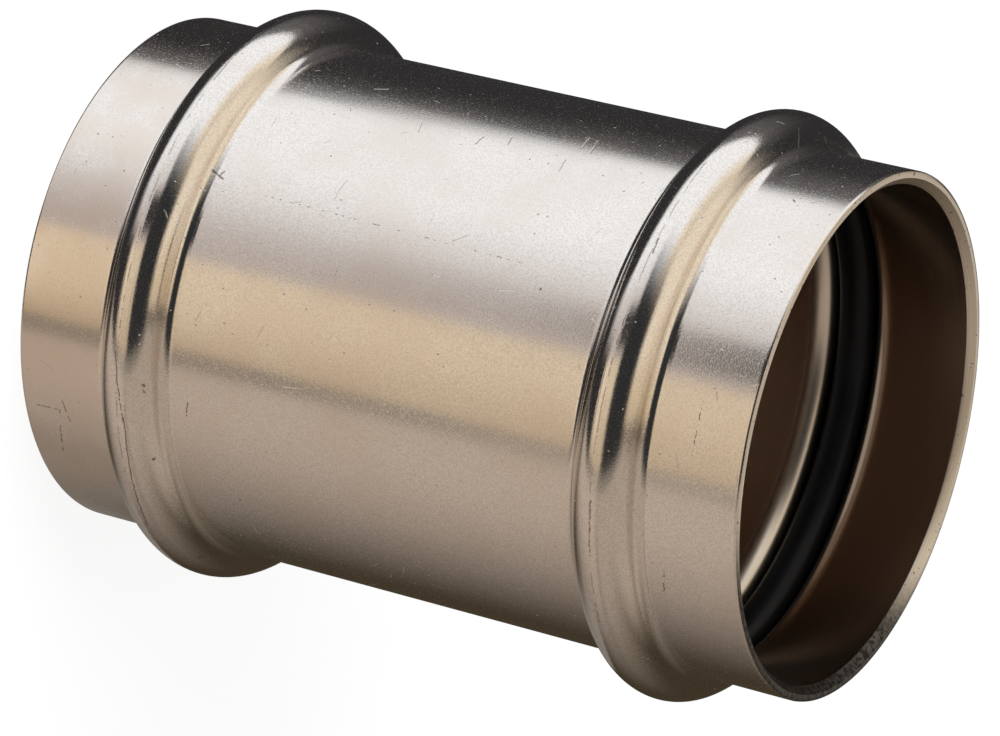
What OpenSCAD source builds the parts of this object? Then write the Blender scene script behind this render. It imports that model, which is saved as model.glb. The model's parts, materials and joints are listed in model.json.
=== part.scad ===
// Straight press fit sleeve for metal pipe: a plain tube with a bead rolled out near each rim,
// and a rubber seal ring held inside each bead. It stands on its lower rim, with its axis on Z.

/* [Pipe socket] */
// Outside diameter of the pipe that goes in at each end
pipe_d = 54; // [28:1:108]
// Gap between the pipe and the bore, all round
pipe_gap = 0.15; // [0.05:0.05:0.4]

/* [Sleeve] */
// Length of the sleeve from rim to rim
sleeve_length = 88; // [60:1:160]
// Wall of the plain tube
tube_wall = 1.6; // [1.2:0.1:2.4]

/* [Beads] */
// Distance from each rim to the middle of its bead
bead_from_rim = 15; // [10:0.5:24]
// Wall of the bead, thinner than the tube because rolling stretches it
bead_wall = 1.15; // [0.8:0.05:1.6]
// Radius of the hollow where the bead leaves the tube, outside
bead_root_r = 1.3; // [0.6:0.1:2]

/* [Seal rings] */
// Thickness of a seal ring's round section
seal_section = 4.2; // [3.4:0.1:5.2]
// How far a seal ring reaches past the pipe's surface, to grip it
seal_grip = 0.05; // [0:0.01:0.12]
// Gap between a seal ring and the bottom of its groove
seal_seat_gap = 0.05; // [0.03:0.01:0.2]
// Gap between a seal ring and the side of its groove
seal_side_gap = 0.3; // [0.1:0.05:0.6]

/* [Rims] */
// Size of the broken edge on the outside of each rim
rim_edge = 0.25; // [0.1:0.05:0.4]
// Width of the lead-in inside each rim, across the wall
lead_in_width = 0.8; // [0.3:0.05:1.1]
// Depth of the lead-in inside each rim, along the bore
lead_in_depth = 0.8; // [0.3:0.1:2]

/* [Hidden] */

$fn = 160;
// How far a cutting shape runs past the face that it cuts
overrun = 1;
// How far a root arc dips into the surfaces that it blends, so that they cross cleanly
root_dip = 0.01;

bore_r = pipe_d / 2 + pipe_gap;
tube_r = bore_r + tube_wall;

// The seal ring grips the pipe, the groove follows the seal ring, and the bead follows the groove
seal_r = pipe_d / 2 - seal_grip + seal_section / 2;
groove_arc_r = seal_section / 2 + seal_side_gap;
groove_r = seal_r + seal_section / 2 + seal_seat_gap - groove_arc_r;
bead_arc_r = groove_arc_r + bead_wall;

// The groove's mouth is rounded so that the wall keeps its thickness round the bead's root
groove_mouth_r = bead_root_r + (tube_wall + bead_wall) / 2;

// Height of the middle of the lower and the upper bead
bead_heights = [bead_from_rim, sleeve_length - bead_from_rim];

tube_color = [0.78, 0.73, 0.66];
seal_color = [0.06, 0.06, 0.065];

// Centre of a root arc, from the middle of its bead: it dips into the wall and into the bead's arc
function root_x(wall_r, root_r) = wall_r + root_r - root_dip;
function root_y(wall_r, root_r, arc_r) =
    sqrt((arc_r + root_r - root_dip) ^ 2 - (root_x(wall_r, root_r) - groove_r) ^ 2);

// Half section of a bead about its own middle: one arc, on a foot that a root arc hollows on each side
module bead_section(wall_r, root_r, arc_r) {
    x = root_x(wall_r, root_r);
    y = root_y(wall_r, root_r, arc_r);
    translate([groove_r, 0]) circle(arc_r);
    difference() {
        polygon([[0, -y], [x, -y], [groove_r, 0], [x, y], [0, y]]);
        for (side = [-1, 1]) translate([x, side * y]) circle(root_r);
    }
}

// Half section of everything inside one surface of the wall, from the axis outwards
module half_section(wall_r, root_r, arc_r, past_rim) {
    translate([0, -past_rim]) square([wall_r, sleeve_length + 2 * past_rim]);
    for (bead_z = bead_heights) translate([0, bead_z]) bead_section(wall_r, root_r, arc_r);
}

// What is turned off the lower rim: the lead-in inside and the broken edge outside
module rim_cuts() {
    lead_in_slope = lead_in_width / lead_in_depth;
    lead_in_mouth_r = bore_r + lead_in_width + overrun * lead_in_slope;
    polygon([
        [bore_r - overrun, -overrun],
        [lead_in_mouth_r, -overrun],
        [bore_r, lead_in_depth],
        [bore_r - overrun, lead_in_depth]
    ]);
    polygon([
        [tube_r - rim_edge - overrun, -overrun],
        [tube_r + overrun, -overrun],
        [tube_r + overrun, rim_edge + overrun]
    ]);
}

module sleeve() {
    color(tube_color) rotate_extrude() difference() {
        half_section(tube_r, bead_root_r, bead_arc_r, 0);
        half_section(bore_r, groove_mouth_r, groove_arc_r, overrun);
        rim_cuts();
        translate([0, sleeve_length]) mirror([0, 1]) rim_cuts();
    }
}

module seal_ring(ring_z) {
    color(seal_color) translate([0, 0, ring_z])
        rotate_extrude() translate([seal_r, 0]) circle(seal_section / 2);
}

module lower_seal_ring() { seal_ring(bead_heights[0]); }

module upper_seal_ring() { seal_ring(bead_heights[1]); }

sleeve();
lower_seal_ring();
upper_seal_ring();
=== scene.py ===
# %% [markdown]
# # A press fit sleeve
# A press fit sleeve joins two metal pipes. It is one piece of copper-nickel tube with a bead rolled
# out near each rim, and each bead holds a rubber seal ring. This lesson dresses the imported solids:
# it turns a finer sleeve on a section line, moulds the rings, and gives each surface its finish.

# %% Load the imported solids
import json
import math

import bmesh
import bpy
from mathutils import Matrix, Vector


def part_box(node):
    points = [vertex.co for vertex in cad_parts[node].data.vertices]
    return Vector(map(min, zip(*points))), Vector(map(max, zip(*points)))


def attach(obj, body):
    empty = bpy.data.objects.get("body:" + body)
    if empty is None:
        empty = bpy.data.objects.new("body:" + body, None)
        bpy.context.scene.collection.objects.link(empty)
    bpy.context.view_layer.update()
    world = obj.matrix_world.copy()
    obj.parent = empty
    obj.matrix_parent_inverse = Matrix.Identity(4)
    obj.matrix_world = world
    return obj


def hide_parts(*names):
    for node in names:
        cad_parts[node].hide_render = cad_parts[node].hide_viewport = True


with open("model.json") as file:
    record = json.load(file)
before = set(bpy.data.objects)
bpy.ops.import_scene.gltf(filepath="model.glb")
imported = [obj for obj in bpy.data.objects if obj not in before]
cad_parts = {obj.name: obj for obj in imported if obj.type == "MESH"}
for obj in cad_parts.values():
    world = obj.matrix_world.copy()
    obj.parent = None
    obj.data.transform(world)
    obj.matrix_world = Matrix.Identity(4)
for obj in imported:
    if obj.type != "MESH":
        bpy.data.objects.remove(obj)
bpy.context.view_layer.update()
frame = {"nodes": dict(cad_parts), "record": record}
print("solids:", sorted(frame["nodes"]))

# %% [markdown]
# ## Sizes
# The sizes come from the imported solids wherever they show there: the length and the bead's crest from
# the sleeve's box, the ring's place and thickness from the rings' boxes, and the bore from the socket
# mount. Only the walls and the edges are written here, because no box shows them.

# %% Measure the solids
MM = 0.001

sleeve_low, sleeve_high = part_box("sleeve")
sleeve_length = sleeve_high.z - sleeve_low.z
crest_radius = sleeve_high.x
ring_low, ring_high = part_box("lower_seal_ring")
ring_section = ring_high.z - ring_low.z
ring_radius = ring_high.x - ring_section / 2
bead_height = (ring_low.z + ring_high.z) / 2
mounts = {mount["name"]: mount for mount in frame["record"]["mounts"]}
bore_radius = mounts["lower_socket"]["dims"]["r_mm"] * MM
print(f"length {sleeve_length / MM:.2f} mm, crest {crest_radius / MM:.2f} mm")
print(f"bore {bore_radius / MM:.2f} mm")

# %% Walls and edges
tube_wall = 1.6 * MM
bead_wall = 1.15 * MM
bead_root = 1.3 * MM
rim_edge = 0.25 * MM
lead_in_width = 0.8 * MM
lead_in_depth = 0.8 * MM
edge_break = 0.06 * MM
groove_side_gap = 0.3 * MM

tube_radius = bore_radius + tube_wall
groove_arc = ring_section / 2 + groove_side_gap
bead_arc = groove_arc + bead_wall
arc_radius = crest_radius - bead_arc
groove_mouth = bead_root + (tube_wall + bead_wall) / 2
print(f"tube {tube_radius / MM:.2f} mm, bead arc {bead_arc / MM:.2f} mm about {arc_radius / MM:.2f} mm")

# %% [markdown]
# ## The section line
# A lathe part is one line swung round an axis. The line could be typed as a list of points, but then
# a changed radius would mean typing it all again. Here a pen draws it: one vertex is extruded for
# each straight and spun about a centre for each arc, so that every arc stays tangent to the next.
# Each upright starts and ends with a short step. Without these steps, the smooth shading of the arcs
# would bend the reflections along the whole upright.


# %% A pen for section lines
wall_step = 0.15 * MM


def draw_line(section, tip, radius, height):
    """Extrudes the tip to a new place on the section, and returns the new tip."""
    end = bmesh.ops.extrude_vert_indiv(section, verts=[tip])["verts"][0]
    bmesh.ops.translate(section, verts=[end], vec=Vector((radius, 0, height)) - tip.co)
    return end


def draw_wall(section, tip, radius, height):
    """Draws an upright with a short step at each end, so that its shading stays flat up to the arcs."""
    step = math.copysign(wall_step, height - tip.co.z)
    for stop in (tip.co.z + step, height - step, height):
        tip = draw_line(section, tip, radius, stop)
    return tip


def draw_arc(section, tip, radius, height, turn, steps):
    """Spins the tip about a centre on the section. A turn from outwards to upwards is positive."""
    centre = (radius, 0, height)
    made = bmesh.ops.spin(section, geom=[tip], cent=centre, axis=(0, -1, 0), angle=turn, steps=steps)
    return [part for part in made["geom_last"] if isinstance(part, bmesh.types.BMVert)][0]


def root_place(wall_radius, root, arc):
    """Where a root arc's centre lies from the bead's middle: its radius, its height and its turn."""
    radius = wall_radius + root
    height = math.sqrt((arc + root) ** 2 - (radius - arc_radius) ** 2)
    return radius, height, math.atan2(height, radius - arc_radius)


# %% Draw the lower half of the section
root_steps = 10
bead_steps = 30
groove_steps = 18
edge_steps = 3

section = bmesh.new()
tip = section.verts.new((tube_radius, 0, sleeve_length / 2))

radius, height, turn = root_place(tube_radius, bead_root, bead_arc)
tip = draw_wall(section, tip, tube_radius, bead_height + height)
tip = draw_arc(section, tip, radius, bead_height + height, turn, root_steps)
tip = draw_arc(section, tip, arc_radius, bead_height, -2 * turn, bead_steps)
tip = draw_arc(section, tip, radius, bead_height - height, turn, root_steps)
tip = draw_wall(section, tip, tube_radius, rim_edge)
tip = draw_arc(section, tip, tube_radius - rim_edge, rim_edge, -math.pi / 2, edge_steps)
tip = draw_line(section, tip, bore_radius + lead_in_width, 0)
lead_in_end = bore_radius + edge_break * lead_in_width / lead_in_depth
tip = draw_line(section, tip, lead_in_end, lead_in_depth - edge_break)
tip = draw_line(section, tip, bore_radius, lead_in_depth + edge_break)

radius, height, turn = root_place(bore_radius, groove_mouth, groove_arc)
tip = draw_wall(section, tip, bore_radius, bead_height - height)
tip = draw_arc(section, tip, radius, bead_height - height, -turn, root_steps)
tip = draw_arc(section, tip, arc_radius, bead_height, 2 * turn, groove_steps)
tip = draw_arc(section, tip, radius, bead_height + height, -turn, root_steps)
tip = draw_wall(section, tip, bore_radius, sleeve_length / 2)
print("half section:", len(section.verts), "vertices")

# %% [markdown]
# ## Turning the sleeve
# The two ends are alike, so the half line is mirrored at mid-length before it is swung round. The spin
# merges its last copy with its first. The normals are recalculated only after the doubles are gone,
# because a seam that is still open would leave part of the wall facing inwards.

# %% Mirror the section and spin it
around_steps = 320
merge_gap = 0.001 * MM

middle = Matrix.Translation((0, 0, -sleeve_length / 2))
copied = bmesh.ops.duplicate(section, geom=section.verts[:] + section.edges[:])["geom"]
copied_verts = [part for part in copied if isinstance(part, bmesh.types.BMVert)]
bmesh.ops.scale(section, verts=copied_verts, vec=(1, 1, -1), space=middle)
bmesh.ops.remove_doubles(section, verts=section.verts[:], dist=merge_gap)
bmesh.ops.spin(
    section, geom=section.verts[:] + section.edges[:], cent=(0, 0, 0), axis=(0, 0, 1),
    angle=2 * math.pi, steps=around_steps, use_merge=True)
bmesh.ops.remove_doubles(section, verts=section.verts[:], dist=merge_gap)
bmesh.ops.recalc_face_normals(section, faces=section.faces[:])
print("sleeve:", len(section.faces), "faces,", round(section.calc_volume() / MM ** 3), "mm3")

# %% [markdown]
# ## Which finish goes where
# The sleeve is one piece of metal with four finishes: the satin wall outside, the two rolled beads,
# the cut rims and the brown bore. Each face takes its finish from where it lies and where it faces.

# %% Sort the faces by finish
FINISHES = ["satin_wall", "rolled_bead", "cut_rim", "drawn_bore"]
bead_half = root_place(tube_radius, bead_root, bead_arc)[1]
rim_outward = 0.5


def finish_of(face):
    """The finish of one face of the sleeve, by its place and its direction."""
    place = face.calc_center_median()
    from_rim = min(place.z, sleeve_length - place.z)
    outward = face.normal.dot(Vector((place.x, place.y, 0)).normalized())
    if from_rim < lead_in_depth + edge_break and outward < rim_outward:
        return "cut_rim"
    if outward < 0:
        return "drawn_bore"
    return "rolled_bead" if abs(from_rim - bead_height) < bead_half else "satin_wall"


for face in section.faces:
    face.smooth = True
    face.material_index = FINISHES.index(finish_of(face))
counts = [sum(1 for face in section.faces if face.material_index == i) for i in range(len(FINISHES))]
print("faces by finish:", dict(zip(FINISHES, counts)))


# %% Make the sleeve's object
def make_piece(name, mesh_work, sharp_angle):
    """Turns finished mesh work into an object that rides on the sleeve's one body."""
    mesh = bpy.data.meshes.new(name)
    mesh_work.to_mesh(mesh)
    mesh_work.free()
    mesh.set_sharp_from_angle(angle=sharp_angle)
    piece = bpy.data.objects.new(name, mesh)
    bpy.context.scene.collection.objects.link(piece)
    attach(piece, "root")
    return piece


sleeve = make_piece("beaded_sleeve", section, math.radians(30))
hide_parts("sleeve")
print("made", sleeve.name)

# %% [markdown]
# ## The seal rings
# Such a ring is moulded in two halves, which leaves a fine line of flash where the halves met. A plain
# torus would lack it. The photo is too dark to show it, so its place is a guess. The ring's section is a
# spun circle, and the flash is one vertex of it, pulled out a little before the section is swung round.

# %% Mould the two rings
section_steps = 48
flash_height = 0.06 * MM
flash_turn = math.radians(210)


def mould_ring(name, node, height):
    """Makes one seal ring with a line of moulding flash, in the place of its solid."""
    ring = bmesh.new()
    start = ring.verts.new((ring_radius + ring_section / 2, 0, height))
    bmesh.ops.spin(
        ring, geom=[start], cent=(ring_radius, 0, height), axis=(0, -1, 0),
        angle=2 * math.pi, steps=section_steps, use_merge=True)
    for vert in ring.verts:
        off = vert.co - Vector((ring_radius, 0, height))
        turn = math.atan2(off.z, off.x) % (2 * math.pi)
        if abs(turn - flash_turn) < math.pi / section_steps:
            bmesh.ops.translate(ring, verts=[vert], vec=off.normalized() * flash_height)
    bmesh.ops.spin(
        ring, geom=ring.verts[:] + ring.edges[:], cent=(0, 0, 0), axis=(0, 0, 1),
        angle=2 * math.pi, steps=around_steps, use_merge=True)
    bmesh.ops.remove_doubles(ring, verts=ring.verts[:], dist=merge_gap)
    bmesh.ops.recalc_face_normals(ring, faces=ring.faces[:])
    for face in ring.faces:
        face.smooth = True
    piece = make_piece(name, ring, math.radians(60))
    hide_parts(node)
    return piece


rings = [
    mould_ring("lower_rubber_ring", "lower_seal_ring", bead_height),
    mould_ring("upper_rubber_ring", "upper_seal_ring", sleeve_length - bead_height),
]
print("moulded:", [ring.name for ring in rings])

# %% [markdown]
# ## Helpers for finishes
# A finish is a small network of nodes. A few helpers keep the cells that follow short: one adds a node
# and fills its sockets with values or links, and one opens a node group with named sockets.


# %% Node helpers
def fill(tree, node, inputs):
    """Fills a node's inputs with values or with other sockets."""
    for name, value in inputs.items():
        if isinstance(value, bpy.types.NodeSocket):
            tree.links.new(value, node.inputs[name])
        else:
            node.inputs[name].default_value = value
    return node


def add(tree, kind, inputs=None, **settings):
    """Adds a node, makes its settings, and fills its inputs."""
    made = tree.nodes.new(kind)
    for name, value in settings.items():
        setattr(made, name, value)
    return fill(tree, made, inputs or {})


def calc(tree, operation, first, second=0.0, clamp=False):
    """One sum on two values."""
    made = add(tree, "ShaderNodeMath", {0: first, 1: second}, operation=operation, use_clamp=clamp)
    return made.outputs[0]


def vector_calc(tree, operation, first, second, output="Vector"):
    """One sum on two vectors."""
    made = add(tree, "ShaderNodeVectorMath", {0: first, 1: second}, operation=operation)
    return made.outputs[output]


def between(tree, value, low, high, to_low=0.0, to_high=1.0):
    """Spreads a value from one range smoothly over another, and holds it there."""
    inputs = {"Value": value, "From Min": low, "From Max": high, "To Min": to_low, "To Max": to_high}
    return add(tree, "ShaderNodeMapRange", inputs, interpolation_type="SMOOTHSTEP").outputs["Result"]


def blend(tree, share, first, second):
    """Mixes two colours by a share."""
    inputs = {"Factor": share, 6: first, 7: second}
    return add(tree, "ShaderNodeMix", inputs, data_type="RGBA").outputs[2]


def open_group(name, inputs, outputs):
    """Starts a node group. Returns it with the sockets that bring values in and take them out."""
    group = bpy.data.node_groups.new(name, "ShaderNodeTree")
    for socket, (kind, value) in inputs.items():
        made = group.interface.new_socket(socket, in_out="INPUT", socket_type=kind)
        made.default_value = value
    for socket, kind in outputs.items():
        group.interface.new_socket(socket, in_out="OUTPUT", socket_type=kind)
    return group, group.nodes.new("NodeGroupInput").outputs, group.nodes.new("NodeGroupOutput").inputs


def use(tree, group, **inputs):
    """Places a node group in a material, and returns its outputs."""
    return fill(tree, add(tree, "ShaderNodeGroup", node_tree=group), inputs).outputs


FLOAT = "NodeSocketFloat"
VECTOR = "NodeSocketVector"
ORIGIN = (VECTOR, (0.0, 0.0, 0.0))
print("helpers ready")

# %% [markdown]
# ## Places on the wall
# Marks on a tube are easiest to place on the unrolled wall: so far round from the front, and so far up
# from the lower rim, both in millimetres. This group works that out from the object's coordinates.

# %% Group: the unrolled wall
unrolled, given, made = open_group("unrolled_wall", {"Object": ORIGIN}, {"Place": VECTOR})
axes = add(unrolled, "ShaderNodeSeparateXYZ", {0: given["Object"]}).outputs
front = calc(unrolled, "MULTIPLY", axes["Y"], -1.0)
angle = calc(unrolled, "ARCTAN2", axes["X"], front)
around = calc(unrolled, "MULTIPLY", angle, tube_radius / MM)
up = calc(unrolled, "MULTIPLY", axes["Z"], 1 / MM)
place = add(unrolled, "ShaderNodeCombineXYZ", {"X": around, "Y": up}).outputs[0]
unrolled.links.new(place, made["Place"])
print("group:", unrolled.name)

# %% [markdown]
# ## Satin grain
# Such tube is often pickled after rolling, which leaves a fine, even grain. It shows most where a bright
# reflection meets a dark one, because each grain tips the surface a little. So the grain is a height
# for a Bump node with deeper pits, a faint change of shade, and specks that scatter light and so glint
# in a dark reflection. More roughness alone would blur the reflections, and would look like plastic.

# %% Group: satin grain
grain, given, made = open_group(
    "satin_grain",
    {"Object": ORIGIN, "Grain": (FLOAT, 5200.0), "Pits": (FLOAT, 900.0)},
    {"Height": FLOAT, "Shade": FLOAT, "Patches": FLOAT, "Specks": FLOAT})
fine = add(grain, "ShaderNodeTexNoise", {"Vector": given["Object"], "Scale": given["Grain"], "Detail": 2.0})
cells = add(grain, "ShaderNodeTexVoronoi", {"Vector": given["Object"], "Scale": given["Pits"]})
chance = add(grain, "ShaderNodeSeparateColor", {0: cells.outputs["Color"]}).outputs["Red"]
deep = between(grain, chance, 0.5, 1.0, 0.0, 12.0)
pit = between(grain, cells.outputs["Distance"], 0.0, 0.12, 1.0, 0.0)
ups = calc(grain, "SUBTRACT", fine.outputs["Fac"], calc(grain, "MULTIPLY", pit, deep))
patches = add(
    grain, "ShaderNodeTexNoise",
    {"Vector": given["Object"], "Scale": 95.0, "Detail": 6.0, "Roughness": 0.6})
speck = between(grain, cells.outputs["Distance"], 0.06, 0.14, 1.0, 0.0)
speck = calc(grain, "MULTIPLY", speck, between(grain, chance, 0.5, 0.9))
grain.links.new(ups, made["Height"])
grain.links.new(fine.outputs["Fac"], made["Shade"])
grain.links.new(patches.outputs["Fac"], made["Patches"])
grain.links.new(speck, made["Specks"])
print("group:", grain.name)

# %% [markdown]
# ## Drawn lines
# Rolling, drawing and sawing leave fine lines that run round the tube. Noise that is squeezed along
# the axis and stretched round it gives such lines, so the group only scales the coordinates.

# %% Group: drawn lines
lines, given, made = open_group(
    "drawn_lines",
    {"Object": ORIGIN, "Squeeze": (VECTOR, (60.0, 60.0, 2600.0))},
    {"Height": FLOAT})
squeezed = vector_calc(lines, "MULTIPLY", given["Object"], given["Squeeze"])
drawn = add(lines, "ShaderNodeTexNoise", {"Vector": squeezed, "Scale": 1.0, "Detail": 3.0})
lines.links.new(drawn.outputs["Fac"], made["Height"])
print("group:", lines.name)

# %% [markdown]
# ## Short scratches
# Handling leaves short scratches that lie in every direction. Each cell of a flat Voronoi pattern on
# the unrolled wall may hold one: the cell's random colour says whether, how long and which way.

# %% Group: short scratches
scratches, given, made = open_group(
    "short_scratches",
    {"Place": ORIGIN, "Cells": (FLOAT, 0.22), "Chance": (FLOAT, 0.35), "Longest": (FLOAT, 1.6)},
    {"Mark": FLOAT})
cells = add(scratches, "ShaderNodeTexVoronoi", {"Vector": given["Place"], "Scale": given["Cells"]},
            voronoi_dimensions="2D").outputs
dice = add(scratches, "ShaderNodeSeparateColor", {0: cells["Color"]}).outputs
local = vector_calc(scratches, "SUBTRACT", given["Place"], cells["Position"])
turned = add(scratches, "ShaderNodeVectorRotate",
             {"Vector": local, "Angle": calc(scratches, "MULTIPLY", dice["Red"], math.pi)},
             rotation_type="Z_AXIS").outputs[0]
axes = add(scratches, "ShaderNodeSeparateXYZ", {0: turned}).outputs
half = calc(scratches, "MULTIPLY", calc(scratches, "POWER", dice["Green"], 2.0), given["Longest"])
past = calc(scratches, "SUBTRACT", calc(scratches, "ABSOLUTE", axes["X"]), half)
inside = between(scratches, past, -0.2, 0.0, 1.0, 0.0)
thin = between(scratches, calc(scratches, "ABSOLUTE", axes["Y"]), 0.02, 0.07, 1.0, 0.0)
chosen = calc(scratches, "LESS_THAN", dice["Blue"], given["Chance"])
mark = calc(scratches, "MULTIPLY", calc(scratches, "MULTIPLY", inside, thin), chosen)
scratches.links.new(mark, made["Mark"])
print("group:", scratches.name)

# %% [markdown]
# ## Single marks
# Some marks stand in one place: a nick at a bead's root, a branching stain, a dotted line. Each is a
# line from one place on the unrolled wall to another, a little wavy, and broken up by noise. The noise
# has a group of its own, which each finish uses once, because a noise for each mark would be slow.

# %% Group: rough places
roughened, given, made = open_group("rough_places", {"Place": ORIGIN}, {"Place": VECTOR, "Rough": FLOAT})
noise = add(
    roughened, "ShaderNodeTexNoise",
    {"Vector": given["Place"], "Scale": 1.7, "Detail": 3.0}).outputs
wave = vector_calc(roughened, "SUBTRACT", noise["Color"], (0.5, 0.5, 0.5))
wave = vector_calc(roughened, "MULTIPLY", wave, (0.4, 0.4, 0.0))
roughened.links.new(vector_calc(roughened, "ADD", given["Place"], wave), made["Place"])
roughened.links.new(noise["Fac"], made["Rough"])
print("group:", roughened.name)

# %% Group: line mark
marked, given, made = open_group(
    "line_mark",
    {"Place": ORIGIN, "Rough": (FLOAT, 1.0), "Start": ORIGIN, "End": ORIGIN, "Width": (FLOAT, 0.1),
     "Breaks": (FLOAT, 0.4)},
    {"Mark": FLOAT})
from_start = vector_calc(marked, "SUBTRACT", given["Place"], given["Start"])
whole = vector_calc(marked, "SUBTRACT", given["End"], given["Start"])
along = vector_calc(marked, "DOT_PRODUCT", from_start, whole, "Value")
length_squared = vector_calc(marked, "DOT_PRODUCT", whole, whole, "Value")
share = calc(marked, "DIVIDE", along, length_squared, clamp=True)
spread = add(marked, "ShaderNodeVectorMath", {0: whole, "Scale": share}, operation="SCALE").outputs[0]
off = vector_calc(marked, "DISTANCE", from_start, spread, "Value")
near = calc(marked, "SUBTRACT", 1.0, calc(marked, "DIVIDE", off, given["Width"]), clamp=True)
kept = calc(marked, "GREATER_THAN", given["Rough"], given["Breaks"])
marked.links.new(calc(marked, "MULTIPLY", near, kept), made["Mark"])
print("group:", marked.name)


# %% Lay several marks
def lay_marks(tree, rough, marks):
    """Several line marks in one, each a start, an end, a width and how much of it is broken away."""
    total = 0.0
    for start, end, width, breaks in marks:
        made = use(
            tree, marked, Place=rough["Place"], Rough=rough["Rough"], Start=(*start, 0.0), End=(*end, 0.0),
            Width=width, Breaks=breaks)
        total = calc(tree, "MAXIMUM", total, made["Mark"])
    return total


# %% [markdown]
# ## Finishes of the metal
# All four finishes are the same metal, so they share one starting point: a metallic Principled shader
# and the object's coordinates to hang patterns on. The grain then makes the alloy a little lighter and
# darker, some grains scatter more light than others, and the marks make it dark and dull.

# %% Start a metal finish
ALLOY = (0.875, 0.825, 0.77, 1.0)
ALLOY_SHADE = (0.72, 0.675, 0.625, 1.0)
TARNISH = (0.76, 0.675, 0.595, 1.0)
GRIME = (0.10, 0.08, 0.06, 1.0)
grime_share = 0.85
speck_scatter = 3
scratch_roughness = 0.55
scratch_depth = 2.5
bump_depth = 0.01 * MM


def start_finish(name, metallic):
    """A new material with a Principled shader. Returns it, its tree, its shader and its coordinates."""
    material = bpy.data.materials.new(name)
    material.use_nodes = True
    tree = material.node_tree
    tree.nodes.clear()
    shader = add(tree, "ShaderNodeBsdfPrincipled", {"Metallic": metallic})
    add(tree, "ShaderNodeOutputMaterial", {"Surface": shader.outputs[0]})
    coords = add(tree, "ShaderNodeTexCoord").outputs["Object"]
    return material, tree, shader, coords


def dress_metal(tree, shader, skin, tarnish, dark, bright, polish, glints, height):
    """Joins grain, tarnish, dark marks and bright scratches to a metal's colour, roughness and bump."""
    metal = blend(tree, between(tree, skin["Shade"], 0.38, 0.62), ALLOY_SHADE, ALLOY)
    metal = blend(tree, tarnish, metal, TARNISH)
    metal = blend(tree, calc(tree, "MULTIPLY", dark, grime_share), metal, GRIME)
    fill(tree, shader, {"Base Color": metal})
    worn = calc(tree, "MAXIMUM", dark, bright)
    rough_spots = calc(tree, "MULTIPLY", skin["Specks"], speck_scatter * glints)
    rough_spots = calc(tree, "MAXIMUM", rough_spots, calc(tree, "MULTIPLY", worn, scratch_roughness))
    smooth = between(tree, skin["Patches"], 0.3, 0.7, *polish)
    smooth = calc(tree, "ADD", smooth, between(tree, skin["Shade"], 0.52, 0.72, 0.0, glints))
    fill(tree, shader, {"Roughness": calc(tree, "MAXIMUM", smooth, rough_spots)})
    low = calc(tree, "SUBTRACT", height, calc(tree, "MULTIPLY", worn, scratch_depth))
    bump = add(tree, "ShaderNodeBump", {"Height": low, "Strength": 0.5, "Distance": bump_depth})
    fill(tree, shader, {"Normal": bump.outputs[0]})


# %% [markdown]
# The wall's marks were read from the photo: places are millimetres round from the front and up from
# the lower rim. Dark ones are stains and nicks. Bright ones are scratches that cut through the grain.

# %% Satin wall
satin, tree, shader, coords = start_finish("satin_wall", 1.0)
skin = use(tree, grain, Object=coords)
place = use(tree, unrolled, Object=coords)["Place"]
rough = use(tree, roughened, Place=place)
stains = lay_marks(tree, rough, [
    ((19.4, 1.6), (19.3, 4.7), 0.10, 0.45),
    ((19.3, 4.7), (25.9, 3.7), 0.12, 0.48),
    ((18.0, 5.3), (20.6, 5.9), 0.10, 0.45),
    ((-11.15, 19.4), (-10.85, 20.2), 0.20, 0.0),
    ((-11.0, 19.7), (-11.7, 20.0), 0.15, 0.0),
    ((-10.0, 26.0), (-9.2, 58.2), 0.07, 0.58),
    ((0.4, 82.3), (6.0, 82.2), 0.10, 0.52),
    ((19.3, 79.6), (22.6, 79.2), 0.12, 0.50),
    ((14.0, 21.8), (15.8, 21.5), 0.12, 0.45),
    ((-11.0, 68.5), (-10.4, 69.0), 0.25, 0.35),
    ((-25.2, 81.9), (-24.4, 82.8), 0.14, 0.48),
])
pits = lay_marks(tree, rough, [
    ((32.0, 19.8), (32.1, 19.8), 0.22, 0.0),
    ((25.8, 26.7), (25.9, 26.7), 0.20, 0.0),
    ((-7.0, 60.9), (-6.9, 60.9), 0.16, 0.0),
])
cuts = lay_marks(tree, rough, [
    ((-28.4, 29.5), (-29.0, 31.0), 0.14, 0.0),
    ((-25.8, 56.6), (-28.1, 56.3), 0.13, 0.2),
    ((-25.4, 57.9), (-27.9, 57.4), 0.13, 0.2),
    ((-11.4, 33.9), (-14.0, 34.2), 0.08, 0.3),
    ((-22.7, 45.4), (-24.2, 45.6), 0.13, 0.2),
    ((-23.8, 48.7), (-25.1, 48.5), 0.13, 0.2),
    ((-21.4, 56.2), (-23.4, 56.0), 0.12, 0.2),
])
handling = use(tree, scratches, Place=place, Cells=0.26, Chance=0.5, Longest=1.2)["Mark"]
up = add(tree, "ShaderNodeSeparateXYZ", {0: place}).outputs["Y"]
more_clouds = between(tree, up, 14.0, 9.0, 0.0, 0.09)
cloudy = calc(tree, "ADD", skin["Patches"], more_clouds)
clouds = between(tree, cloudy, 0.42, 0.66)
tarnish = calc(tree, "MULTIPLY", clouds, between(tree, up, 20.0, 8.0, 0.45, 1.0))
dark = calc(tree, "MAXIMUM", stains, pits)
bright = calc(tree, "MAXIMUM", cuts, calc(tree, "MULTIPLY", handling, 0.65))
dress_metal(
    tree, shader, skin, tarnish, dark, bright,
    polish=(0.11, 0.15), glints=0.16, height=skin["Height"])
print("finish:", satin.name)

# %% [markdown]
# ## Rolled beads
# The roller that pushed each bead out left fine lines round it, and a dotted line along the crest where
# its two halves met. The crest line follows the bead's height, so it needs no list of places.

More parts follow.
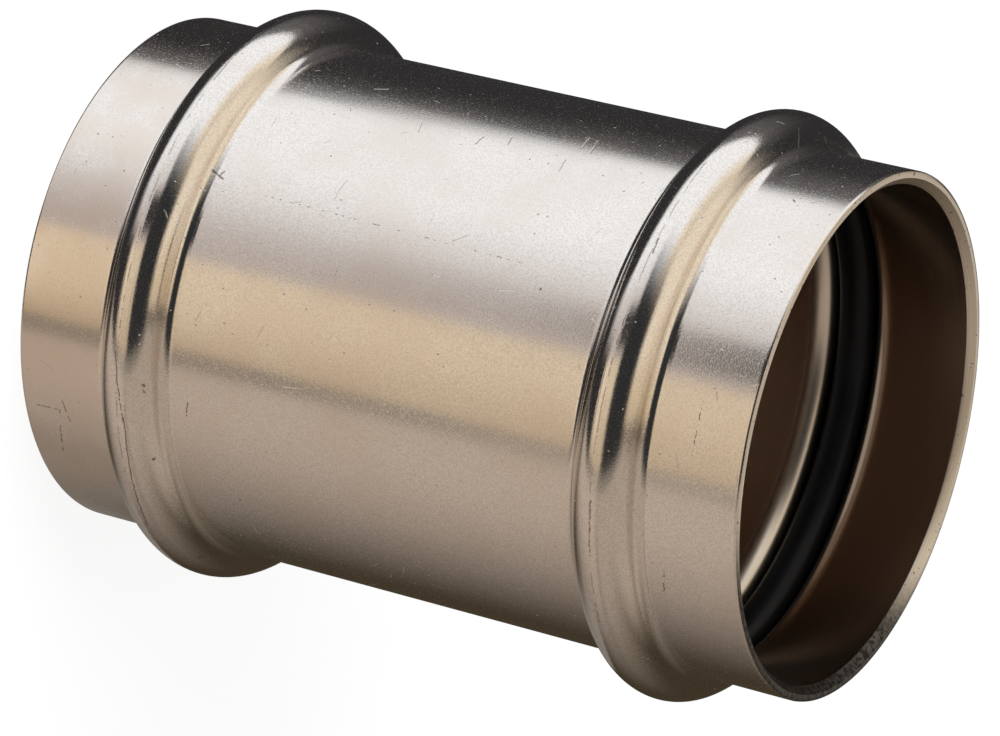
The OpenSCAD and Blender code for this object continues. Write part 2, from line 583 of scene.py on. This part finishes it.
# %% Rolled bead
rolled, tree, shader, coords = start_finish("rolled_bead", 1.0)
skin = use(tree, grain, Object=coords)
place = use(tree, unrolled, Object=coords)["Place"]
marks = use(tree, lines, Object=coords, Squeeze=(90.0, 90.0, 3200.0))
height = add(tree, "ShaderNodeSeparateXYZ", {0: place}).outputs["Y"]
from_middle = calc(tree, "ABSOLUTE", calc(tree, "SUBTRACT", height, sleeve_length / 2 / MM))
from_crest = calc(tree, "SUBTRACT", from_middle, (sleeve_length / 2 - bead_height) / MM)
wander = add(tree, "ShaderNodeTexNoise", {"Vector": place, "Scale": 0.55, "Detail": 5.0, "Roughness": 0.7})
wander = wander.outputs["Fac"]
from_crest = calc(tree, "ADD", from_crest, calc(tree, "MULTIPLY", calc(tree, "SUBTRACT", wander, 0.5), 0.5))
crest = between(tree, calc(tree, "ABSOLUTE", from_crest), 0.03, 0.11, 1.0, 0.0)
crest = calc(tree, "MULTIPLY", crest, calc(tree, "GREATER_THAN", wander, 0.5))
rough = use(tree, roughened, Place=place)
scuffs = lay_marks(tree, rough, [
    ((-11.3, 18.8), (-11.05, 19.75), 0.18, 0.0),
    ((9.0, 14.7), (17.1, 15.9), 0.12, 0.40),
    ((17.1, 15.9), (29.8, 15.4), 0.13, 0.34),
    ((11.5, 73.1), (17.5, 73.0), 0.12, 0.45),
    ((12.0, 17.6), (13.0, 17.8), 0.20, 0.45),
    ((-13.5, 73.1), (-12.0, 73.2), 0.16, 0.35),
    ((20.9, 18.0), (21.0, 18.0), 0.20, 0.0),
    ((38.1, 17.7), (38.2, 17.7), 0.22, 0.0),
])
cuts = lay_marks(tree, rough, [
    ((-5.3, 16.8), (-4.7, 17.3), 0.12, 0.2),
    ((-35.0, 74.6), (-35.8, 75.0), 0.12, 0.0),
])
handling = use(tree, scratches, Place=place, Chance=0.3)["Mark"]
tarnish = between(tree, skin["Patches"], 0.48, 0.74, 0.0, 0.6)
dark = calc(tree, "MAXIMUM", scuffs, calc(tree, "MULTIPLY", crest, 0.5))
bright = calc(tree, "MAXIMUM", cuts, calc(tree, "MULTIPLY", handling, 0.6))
ups = calc(tree, "ADD", skin["Height"], calc(tree, "MULTIPLY", marks["Height"], 2.0))
dress_metal(
    tree, shader, skin, tarnish, dark, bright,
    polish=(0.095, 0.135), glints=0.09, height=ups)
print("finish:", rolled.name)

# %% [markdown]
# ## Cut rims
# The rims were sawn and turned. The tool left rings and small dark specks of torn metal. The rings
# are noise squeezed across the wall, so they need no new geometry. The +X side of the rim and a line
# along the outer edge of the far half are darker: painted dark reflections in the base colour, which
# stay in place when the sleeve turns.

# %% Cut rim
RIM_DEEP = (0.76, 0.69, 0.60, 1.0)
RIM_PALE = (0.90, 0.83, 0.73, 1.0)
# Near-black base colour of the rim's painted dark reflections
RIM_PAINTED_DARK = (0.03, 0.028, 0.024, 1.0)
painted_dark_from = 10 * MM
painted_dark_full = 20 * MM
painted_edge_from = tube_radius - 0.45 * MM
painted_edge_full = tube_radius - 0.25 * MM
painted_edge_share = 0.85
far_half = (-2 * MM, 6 * MM)

rim, tree, shader, coords = start_finish("cut_rim", 1.0)
skin = use(tree, grain, Object=coords, Pits=1500.0)
axes = add(tree, "ShaderNodeSeparateXYZ", {0: coords}).outputs
flat = add(tree, "ShaderNodeCombineXYZ", {"X": axes["X"], "Y": axes["Y"]}).outputs[0]
reach = add(tree, "ShaderNodeVectorMath", {0: flat}, operation="LENGTH").outputs["Value"]
ring_place = add(tree, "ShaderNodeCombineXYZ", {"X": reach, "Z": axes["Z"]}).outputs[0]
rings_cut = add(tree, "ShaderNodeTexNoise", {"Vector": ring_place, "Scale": 9000.0, "Detail": 2.0})
rings_cut = rings_cut.outputs["Fac"]
torn = add(tree, "ShaderNodeTexNoise", {"Vector": coords, "Scale": 1900.0, "Detail": 3.0}).outputs["Fac"]
specks = between(tree, torn, 0.64, 0.70)
metal = blend(tree, between(tree, rings_cut, 0.3, 0.7), RIM_DEEP, RIM_PALE)
# The +X side of the rim is darker: a painted dark reflection in the base colour
painted_dark_side = between(tree, axes["X"], painted_dark_from, painted_dark_full)
painted_dark_side = calc(tree, "MULTIPLY", painted_dark_side, between(tree, torn, 0.35, 0.65, 1.0, 0.88))
metal = blend(tree, painted_dark_side, metal, RIM_PAINTED_DARK)
# A dark line along the outer edge of the far half: a painted dark reflection
painted_dark_edge = between(tree, reach, painted_edge_from, painted_edge_full, 0.0, painted_edge_share)
painted_dark_edge = calc(tree, "MULTIPLY", painted_dark_edge, between(tree, axes["Y"], *far_half))
metal = blend(tree, painted_dark_edge, metal, RIM_PAINTED_DARK)
metal = blend(tree, calc(tree, "MULTIPLY", specks, 0.8), metal, GRIME)
fill(tree, shader, {"Base Color": metal})
fill(tree, shader, {"Roughness": between(tree, skin["Patches"], 0.3, 0.7, 0.40, 0.48)})
ups = calc(tree, "ADD", rings_cut, calc(tree, "MULTIPLY", skin["Shade"], 0.8))
bump = add(tree, "ShaderNodeBump", {"Height": ups, "Strength": 0.3, "Distance": bump_depth})
fill(tree, shader, {"Normal": bump.outputs[0]})
print("finish:", rim.name)

# %% [markdown]
# ## Drawn bore
# The bore is browner and darker than the outside, with fine lines round it. Light that enters it is
# reflected several times, so even a small change of colour grows. The lines therefore stay faint. The
# groove in the photo is pale on its inner side, and the finish follows it. At the lip by the rim, a
# lighter coppery band is a painted highlight.

# %% Drawn bore
BROWN_DEEP = (0.48, 0.38, 0.305, 1.0)
BROWN_PALE = (0.54, 0.43, 0.345, 1.0)
# Coppery colour of the painted highlight at the lip
COPPER_HIGHLIGHT = (0.64, 0.49, 0.36, 1.0)
BARE = (0.80, 0.73, 0.65, 1.0)
groove_edge = (5.6 * MM, 4.4 * MM)
lip_from = 1.0 * MM
lip_full = 2.5 * MM

bore, tree, shader, coords = start_finish("drawn_bore", 1.0)
skin = use(tree, grain, Object=coords)
marks = use(tree, lines, Object=coords, Squeeze=(30.0, 30.0, 4200.0))
brown = blend(tree, between(tree, marks["Height"], 0.25, 0.75), BROWN_DEEP, BROWN_PALE)
height = add(tree, "ShaderNodeSeparateXYZ", {0: coords}).outputs["Z"]
from_middle = calc(tree, "ABSOLUTE", calc(tree, "SUBTRACT", height, sleeve_length / 2))
from_groove = calc(tree, "SUBTRACT", from_middle, sleeve_length / 2 - bead_height)
at_groove = between(tree, calc(tree, "ABSOLUTE", from_groove), *groove_edge)
stretched = calc(tree, "MULTIPLY", at_groove, between(tree, from_groove, lip_full, lip_from))
# A lighter coppery band at the lip by the rim: a painted highlight
lip_highlight = calc(tree, "MULTIPLY", at_groove, between(tree, from_groove, lip_from, lip_full))
brown = blend(tree, lip_highlight, brown, COPPER_HIGHLIGHT)
fill(tree, shader, {"Base Color": blend(tree, stretched, brown, BARE)})
fill(tree, shader, {"Roughness": between(tree, stretched, 0.0, 1.0, 0.22, 0.3)})
ups = calc(tree, "ADD", marks["Height"], calc(tree, "MULTIPLY", skin["Shade"], 0.3))
bump = add(tree, "ShaderNodeBump", {"Height": ups, "Strength": 0.12, "Distance": bump_depth})
fill(tree, shader, {"Normal": bump.outputs[0]})
print("finish:", bore.name)

# %% [markdown]
# ## Seal rubber
# The rings are black moulded rubber with a faint sheen. The finish is nearly black, because pale
# surroundings lift it: a rubber that is written mid-grey would look like plastic.

# %% Seal rubber
RUBBER = (0.003, 0.003, 0.0034, 1.0)
RUBBER_DUSTY = (0.005, 0.005, 0.0055, 1.0)

rubber, tree, shader, coords = start_finish("seal_rubber", 0.0)
skin = use(tree, grain, Object=coords, Grain=4200.0)
dust = between(tree, skin["Patches"], 0.4, 0.7)
fill(tree, shader, {"Base Color": blend(tree, dust, RUBBER, RUBBER_DUSTY), "Specular IOR Level": 0.18})
fill(tree, shader, {"Roughness": between(tree, skin["Patches"], 0.3, 0.7, 0.34, 0.44)})
bump = add(tree, "ShaderNodeBump", {"Height": skin["Shade"], "Strength": 0.15, "Distance": bump_depth})
fill(tree, shader, {"Normal": bump.outputs[0]})
print("finish:", rubber.name)

# %% Give the pieces their finishes
for material in (satin, rolled, rim, bore):
    sleeve.data.materials.append(material)
for ring in rings:
    ring.data.materials.append(rubber)
print("slots:", [material.name for material in sleeve.data.materials])

# %% [markdown]
# ## The studio's cards
# Polished metal has little colour of its own: it shows what stands round it. So a large ball stands
# round the sleeve, with soft cards painted on it, and only reflections see it. Azimuth 0 is the camera's
# side, and elevation 0 is level. Separate cards could be hung up instead, but their edges would be hard.

# %% Start the ball's paint
ball_radius = 4.0

paint = bpy.data.materials.new("studio_cards")
paint.use_nodes = True
paint.cycles.emission_sampling = "NONE"
card_tree = paint.node_tree
card_tree.nodes.clear()
coords = add(card_tree, "ShaderNodeTexCoord").outputs["Object"]
axes = add(card_tree, "ShaderNodeSeparateXYZ", {0: coords}).outputs
front = calc(card_tree, "MULTIPLY", axes["Y"], -1.0)
azimuth = calc(card_tree, "MULTIPLY", calc(card_tree, "ARCTAN2", axes["X"], front), math.degrees(1))
share_up = calc(card_tree, "DIVIDE", axes["Z"], ball_radius)
elevation = calc(card_tree, "MULTIPLY", calc(card_tree, "ARCSINE", share_up), math.degrees(1))

# Slanted values: an edge that leans, the line of the floor, and the angle from overhead to the right
lean = calc(card_tree, "ADD", azimuth, calc(card_tree, "MULTIPLY", elevation, 0.38))
floor_line = calc(card_tree, "ADD", elevation, calc(card_tree, "MULTIPLY", azimuth, 0.42))
sideways = calc(card_tree, "ADD", axes["X"], calc(card_tree, "MULTIPLY", axes["Y"], 0.2))
overhead = calc(card_tree, "MULTIPLY", calc(card_tree, "ARCTAN2", sideways, axes["Z"]), math.degrees(1))
print("ball radius:", ball_radius, "m")


# %% Paint one card
def paint_card(under, colour, *edges):
    """Paints a soft card over others. Each edge is a value, where it fades out and where it is full."""
    share = 1.0
    for value, clear, full in edges:
        share = calc(card_tree, "MULTIPLY", share, between(card_tree, value, clear, full))
    return blend(card_tree, share, under, (*colour, 1.0))


# %% [markdown]
# ## What the cards show
# A tube that stands upright shows the camera the cards below eye level: the white light on one side,
# the warm card in front, a thin dark flag, and the taupe card on the other side. The beads face up and
# down as well, so they also show the black flag in front, the ceiling and the dark floor. The ceiling is
# cream, and a dark gap parts it from the taupe side.

# %% Paint the low cards
DARK = (0.032, 0.031, 0.033)
GREY = (0.14, 0.137, 0.14)
SMUDGE = (0.04, 0.039, 0.041)
WHITE = (1.06, 1.09, 1.14)
LILAC = (0.565, 0.505, 0.48)
WARM = (0.78, 0.65, 0.49)
WARM_SHADE = (0.58, 0.46, 0.33)
WARM_LOW = (0.90, 0.76, 0.59)
TAUPE = (0.54, 0.45, 0.38)
BROWN = (0.055, 0.042, 0.026)
BEIGE = (0.24, 0.215, 0.19)
REAR = (0.75, 0.70, 0.63)

seen = (*DARK, 1.0)
seen = paint_card(seen, GREY, (azimuth, -150, -108), (azimuth, -60, -80))
seen = paint_card(seen, BROWN, (azimuth, 90, 130))
seen = paint_card(seen, BEIGE, (azimuth, 85, 125), (elevation, -29.3, -30.8), (elevation, -56, -40))
seen = paint_card(seen, BEIGE, (azimuth, -145, -160), (elevation, -75, -65), (elevation, -35, -45))
seen = paint_card(seen, REAR, (azimuth, -164, -172), (elevation, -20, -8))
seen = paint_card(seen, REAR, (azimuth, 168, 176), (elevation, -20, -8))
print("low cards painted")

# %% Paint the ceiling
CREAM = (0.93, 0.82, 0.67)
TAN = (0.72, 0.58, 0.41)
GAP = (0.13, 0.11, 0.09)
TAUPE_HIGH = (0.46, 0.385, 0.32)

ceiling = paint_card((*GAP, 1.0), CREAM, (overhead, 9, 4))
ceiling = paint_card(ceiling, TAN, (overhead, -18, 2), (overhead, 9, 4))
ceiling = paint_card(ceiling, TAUPE_HIGH, (overhead, 9.5, 15))
seen = blend(card_tree, between(card_tree, elevation, 34, 52), seen, ceiling)
print("ceiling painted")

# %% Paint the lights and the flags in front
BLACK = (0.032, 0.033, 0.035)
FLAG = (0.275, 0.242, 0.205)
FLAG_PALE = (0.44, 0.375, 0.31)

seen = paint_card(
    seen, CREAM, (lean, -113, -108), (azimuth, 36, 30),
    (elevation, 0, 20), (elevation, 54, 36))
seen = paint_card(seen, WHITE, (lean, -113, -108), (azimuth, 30, -10), (elevation, 40, 20))
seen = paint_card(
    seen, WHITE, (azimuth, -111, -101), (azimuth, -60, -70),
    (elevation, -31, -25), (elevation, 12, 0))
seen = paint_card(seen, LILAC, (azimuth, -60, -8), (azimuth, 35, 34), (elevation, 12, 4))
seen = paint_card(seen, WARM, (azimuth, -9, -3), (azimuth, 35, 34), (elevation, 12, 4))
seen = paint_card(seen, WARM_SHADE, (azimuth, 0, 40), (azimuth, 35, 34), (elevation, 12, 4))
seen = paint_card(seen, WARM_LOW, (azimuth, -9, -3), (azimuth, 34, 14), (elevation, -29, -33))
seen = paint_card(seen, FLAG, (azimuth, 33, 35), (azimuth, 60, 50), (elevation, 70, 60))
seen = paint_card(
    seen, FLAG_PALE, (azimuth, 33, 35), (azimuth, 60, 50),
    (elevation, -30, -25), (elevation, 0, -8))
seen = paint_card(
    seen, TAUPE, (azimuth, 40, 44), (azimuth, 150, 52),
    (elevation, -80, -68), (elevation, 5, -12))
seen = paint_card(
    seen, TAUPE_HIGH, (azimuth, 40, 44), (azimuth, 155, 60),
    (elevation, -12, 5), (overhead, 9.5, 15))
seen = paint_card(seen, DARK, (azimuth, -40, -60), (floor_line, -68, -82))
seen = paint_card(seen, DARK, (azimuth, -70, -55), (azimuth, 40, 36), (elevation, -48, -72))
seen = paint_card(seen, DARK, (azimuth, -24, -4), (azimuth, 40, 36), (elevation, -38, -50))
seen = paint_card(
    seen, BLACK, (azimuth, -64, -28), (azimuth, 39, 32),
    (elevation, -5, 8), (elevation, 66, 50))
seen = paint_card(
    seen, SMUDGE, (azimuth, -30, -22), (azimuth, -6, -14),
    (elevation, -25, -22), (elevation, 12, 4))

glow = add(card_tree, "ShaderNodeEmission", {"Color": seen})
add(card_tree, "ShaderNodeOutputMaterial", {"Surface": glow.outputs[0]})
print("card nodes:", len(card_tree.nodes))


# %% Hang the ball
def only_reflected(piece):
    """Makes a piece of the stage show in reflections and nowhere else."""
    piece.visible_camera = False
    piece.visible_diffuse = False
    piece.visible_transmission = False
    piece.visible_shadow = False


work = bmesh.new()
bmesh.ops.create_uvsphere(work, u_segments=64, v_segments=32, radius=ball_radius)
mesh = bpy.data.meshes.new("studio_ball")
work.to_mesh(mesh)
work.free()
mesh.materials.append(paint)
ball = bpy.data.objects.new("studio_ball", mesh)
bpy.context.scene.collection.objects.link(ball)
only_reflected(ball)
print("hung:", ball.name)

# %% [markdown]
# Light that enters the mouth leaves at the other end, where it meets whatever lies below. A dim disc
# there keeps the bore's reflections calm. Without it, slices of every card would show up in the bore.

# %% Lay a disc below the bore
DIM_GREY = (0.42, 0.42, 0.43, 1.0)
disc_drop = 1 * MM

work = bmesh.new()
bmesh.ops.create_circle(work, cap_ends=True, segments=64, radius=tube_radius)
bmesh.ops.translate(work, verts=work.verts[:], vec=(0, 0, -disc_drop))
mesh = bpy.data.meshes.new("bore_disc")
work.to_mesh(mesh)
work.free()
dim = bpy.data.materials.new("dim_disc")
dim.use_nodes = True
dim.cycles.emission_sampling = "NONE"
dim.node_tree.nodes.clear()
glow = add(dim.node_tree, "ShaderNodeEmission", {"Color": DIM_GREY})
add(dim.node_tree, "ShaderNodeOutputMaterial", {"Surface": glow.outputs[0]})
mesh.materials.append(dim)
disc = bpy.data.objects.new("bore_disc", mesh)
bpy.context.scene.collection.objects.link(disc)
only_reflected(disc)
print("laid:", disc.name)

# %% [markdown]
# ## Floor, lamps and background
# The floor is pale and plain. It adds a share of its own white for the camera, so that it joins the
# white background and still shows the sleeve's soft shadow. The lamps light the floor and the rubber.

# %% Floor
floor_size = 6.0
floor_own_white = 0.8
floor_glow = 1.06

work = bmesh.new()
bmesh.ops.create_grid(work, x_segments=1, y_segments=1, size=floor_size)
mesh = bpy.data.meshes.new("floor")
work.to_mesh(mesh)
work.free()
floor = bpy.data.objects.new("floor", mesh)
bpy.context.scene.collection.objects.link(floor)
floor.visible_glossy = False

pale = bpy.data.materials.new("pale_floor")
pale.use_nodes = True
tree = pale.node_tree
tree.nodes.clear()
matte = add(tree, "ShaderNodeBsdfDiffuse", {"Color": (0.9, 0.9, 0.9, 1.0)})
white = add(tree, "ShaderNodeEmission", {"Strength": floor_glow})
seen = add(tree, "ShaderNodeLightPath").outputs["Is Camera Ray"]
share = calc(tree, "MULTIPLY", seen, floor_own_white)
mixed = add(tree, "ShaderNodeMixShader", {0: share, 1: matte.outputs[0], 2: white.outputs[0]})
add(tree, "ShaderNodeOutputMaterial", {"Surface": mixed.outputs[0]})
floor.data.materials.append(pale)
print("floor:", floor_size, "m")

# %% Background
room_light = 0.55

world = bpy.data.worlds.new("white_studio")
world.use_nodes = True
tree = world.node_tree
tree.nodes.clear()
rays = add(tree, "ShaderNodeLightPath").outputs
shown = calc(tree, "MAXIMUM", rays["Is Camera Ray"], rays["Is Glossy Ray"])
shown = calc(tree, "MAXIMUM", shown, rays["Is Transmission Ray"])
strength = between(tree, shown, 0.0, 1.0, room_light, 1.0)
sky = add(tree, "ShaderNodeBackground", {"Color": (1.0, 1.0, 1.0, 1.0), "Strength": strength})
add(tree, "ShaderNodeOutputWorld", {"Surface": sky.outputs[0]})
bpy.context.scene.world = world
print("world:", world.name)


# %% Lamps
def hang_lamp(name, place, size, power):
    """A soft square lamp that looks at the sleeve's middle, left out of reflections."""
    lamp = bpy.data.lights.new(name, "AREA")
    lamp.size = size
    lamp.energy = power
    made = bpy.data.objects.new(name, lamp)
    bpy.context.scene.collection.objects.link(made)
    aim = Vector((0, 0, sleeve_length / 2))
    made.location = place
    made.rotation_euler = (aim - Vector(place)).to_track_quat("-Z", "Y").to_euler()
    made.visible_glossy = False
    return made


hang_lamp("key_lamp", (-0.7, -0.6, 1.0), 0.8, 11.0)
hang_lamp("fill_lamp", (0.8, -0.9, 0.7), 1.0, 5.0)

# %% Camera
view_elevation = math.radians(27.0)
view_roll = math.radians(103.8)
view_distance = 575 * MM
view_aim = Vector((2.0 * MM, 0, 44.3 * MM))

lens = bpy.data.cameras.new("camera")
lens.sensor_width = 36.0
lens.lens = 189.3
lens.clip_start = 0.01
camera = bpy.data.objects.new("camera", lens)
bpy.context.scene.collection.objects.link(camera)
look = Matrix.Rotation(math.pi / 2 - view_elevation, 4, "X")
back = look.to_3x3() @ Vector((0, 0, view_distance))
camera.matrix_world = Matrix.Translation(view_aim + back) @ look @ Matrix.Rotation(view_roll, 4, "Z")
bpy.context.scene.camera = camera
bpy.context.scene.view_settings.view_transform = "Standard"
print("camera at", [round(value, 3) for value in camera.matrix_world.translation])
